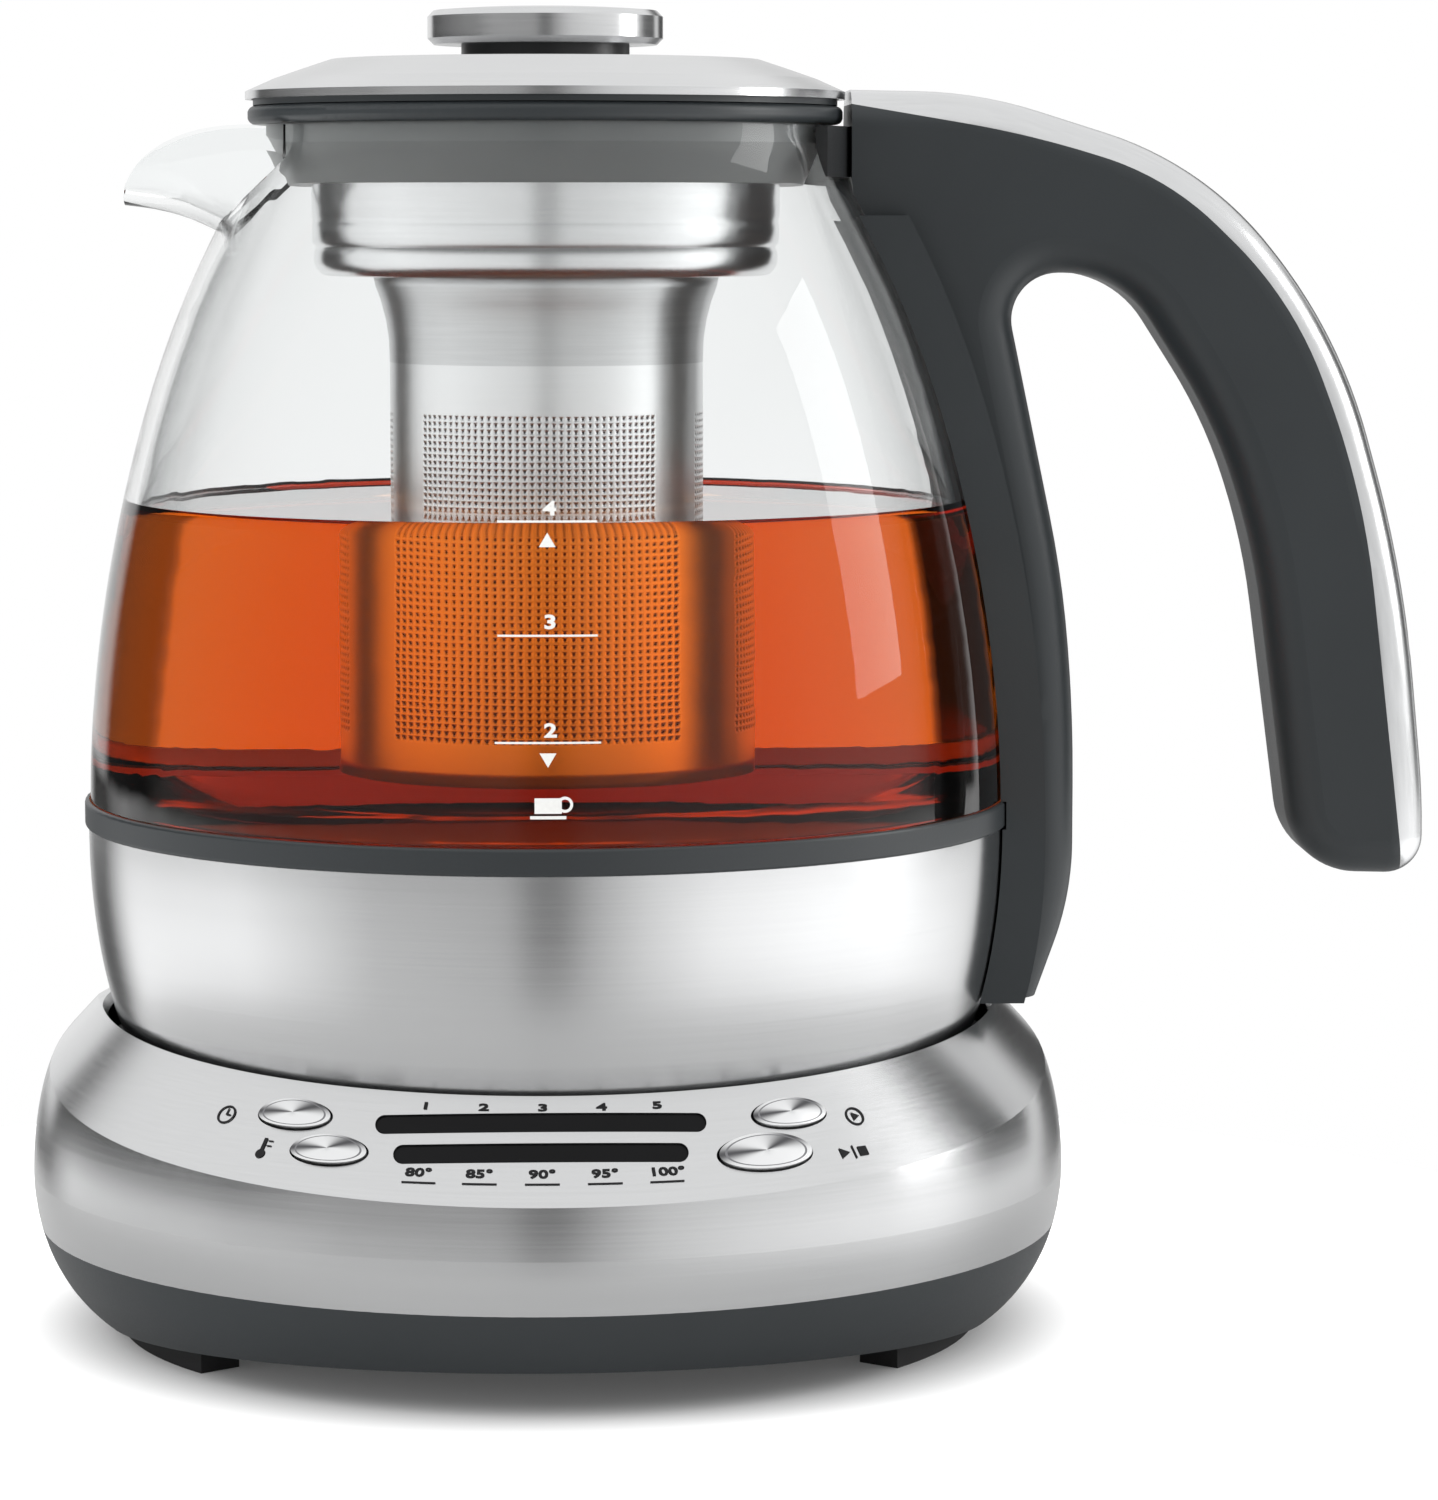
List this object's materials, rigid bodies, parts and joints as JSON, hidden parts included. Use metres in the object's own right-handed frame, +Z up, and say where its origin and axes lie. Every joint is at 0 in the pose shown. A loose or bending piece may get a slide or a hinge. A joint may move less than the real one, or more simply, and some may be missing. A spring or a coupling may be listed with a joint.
{
  "type": "automatic tea maker",
  "caption": "Glass tea jug with lift-out strainer basket, steel lid and open hook-shaped side handle, on a round heated base with a sloping control panel.",
  "frame": {"origin": "on the table, on the jug's axis, which is the round base's centre", "axes": "+Z up, the control panel faces -Y, the handle is on the +X side and the spout on the -X side"},
  "size_m": [0.2343, 0.174, 0.2206],
  "materials": {
    "brushed_steel": "brushed",
    "steel_hardware": "plain",
    "dark_plastic": "fine satin",
    "black_plastic": "satin",
    "tray_plastic": "satin",
    "foot_rubber": "matte",
    "smoked_window": "gloss",
    "clear_glass": "clear",
    "smoke_plug": "translucent",
    "seal_silicone": "translucent silicone",
    "circuit_board": "solder mask",
    "contact_brass": "plain",
    "heater_aluminium": "plain",
    "led_lens": "diffused",
    "relay_case": "satin",
    "transformer_core": "dull"
  },
  "bodies": {
    "base": {"base_shell": "brushed_steel", "base_chassis": "dark_plastic", "base_feet": "foot_rubber", "base_screws": "steel_hardware", "cord_gland": "black_plastic", "seat_tray": "tray_plastic", "base_connector": "black_plastic", "base_contacts": "contact_brass", "time_window": "smoked_window", "temperature_window": "smoked_window", "display_board": "circuit_board", "display_leds": "led_lens", "button_boards": "circuit_board", "tact_switches": "black_plastic", "power_board": "circuit_board", "power_relay": "relay_case", "power_transformer": "transformer_core"},
    "swivel_head": {"connector_head": "black_plastic"},
    "jug": {"jug_shell": "brushed_steel", "jug_base_cover": "dark_plastic", "jug_cover_screws": "steel_hardware", "jug_socket": "black_plastic", "heater_plate": "steel_hardware", "heating_element": "heater_aluminium", "temperature_sensor": "contact_brass", "jug_ring": "dark_plastic", "glass_jug": "clear_glass", "handle_bracket": "dark_plastic", "handle_grip": "dark_plastic", "handle_trim": "brushed_steel", "handle_clip": "black_plastic", "handle_screws": "steel_hardware"},
    "infuser": {"infuser_hanger": "dark_plastic", "infuser_plug": "smoke_plug", "infuser_collar": "brushed_steel", "infuser_basket": "brushed_steel", "infuser_floor": "brushed_steel"},
    "lid": {"lid_cap": "brushed_steel", "lid_liner": "dark_plastic", "lid_seal": "seal_silicone", "lid_knob": "brushed_steel", "knob_neck": "black_plastic", "knob_screw": "steel_hardware"},
    "steep_time_button_body": {"steep_time_button": "brushed_steel"},
    "temperature_button_body": {"temperature_button": "brushed_steel"},
    "start_timer_button_body": {"start_timer_button": "brushed_steel"},
    "start_cancel_button_body": {"start_cancel_button": "brushed_steel"}
  },
  "joints": [
    {"name": "jug_swivel", "type": "hinge", "parent": "base", "child": "swivel_head", "pos_m": [0, 0, 0], "axis": [0, 0, 1], "continuous": true},
    {"name": "jug_lift", "type": "slide", "parent": "swivel_head", "child": "jug", "axis": [0, 0, 1], "range_m": [0, 0.06]},
    {"name": "infuser_lift", "type": "slide", "parent": "jug", "child": "infuser", "axis": [0, 0, 1], "range_m": [0, 0.14]},
    {"name": "lid_lift", "type": "slide", "parent": "infuser", "child": "lid", "axis": [0, 0, 1], "range_m": [0, 0.05]},
    {"name": "steep_time_press", "type": "slide", "parent": "base", "child": "steep_time_button_body", "axis": [0.3467, 0.6439, -0.682], "range_m": [0, 0.0012], "stiffness_N_per_m": 600, "springref_m": -0.001},
    {"name": "temperature_press", "type": "slide", "parent": "base", "child": "temperature_button_body", "axis": [0.2846, 0.6737, -0.682], "range_m": [0, 0.0012], "stiffness_N_per_m": 600, "springref_m": -0.001},
    {"name": "start_timer_press", "type": "slide", "parent": "base", "child": "start_timer_button_body", "axis": [-0.3275, 0.6539, -0.682], "range_m": [0, 0.0012], "stiffness_N_per_m": 600, "springref_m": -0.001},
    {"name": "start_cancel_press", "type": "slide", "parent": "base", "child": "start_cancel_button_body", "axis": [-0.2775, 0.6767, -0.682], "range_m": [0, 0.0012], "stiffness_N_per_m": 600, "springref_m": -0.001}
  ]
}
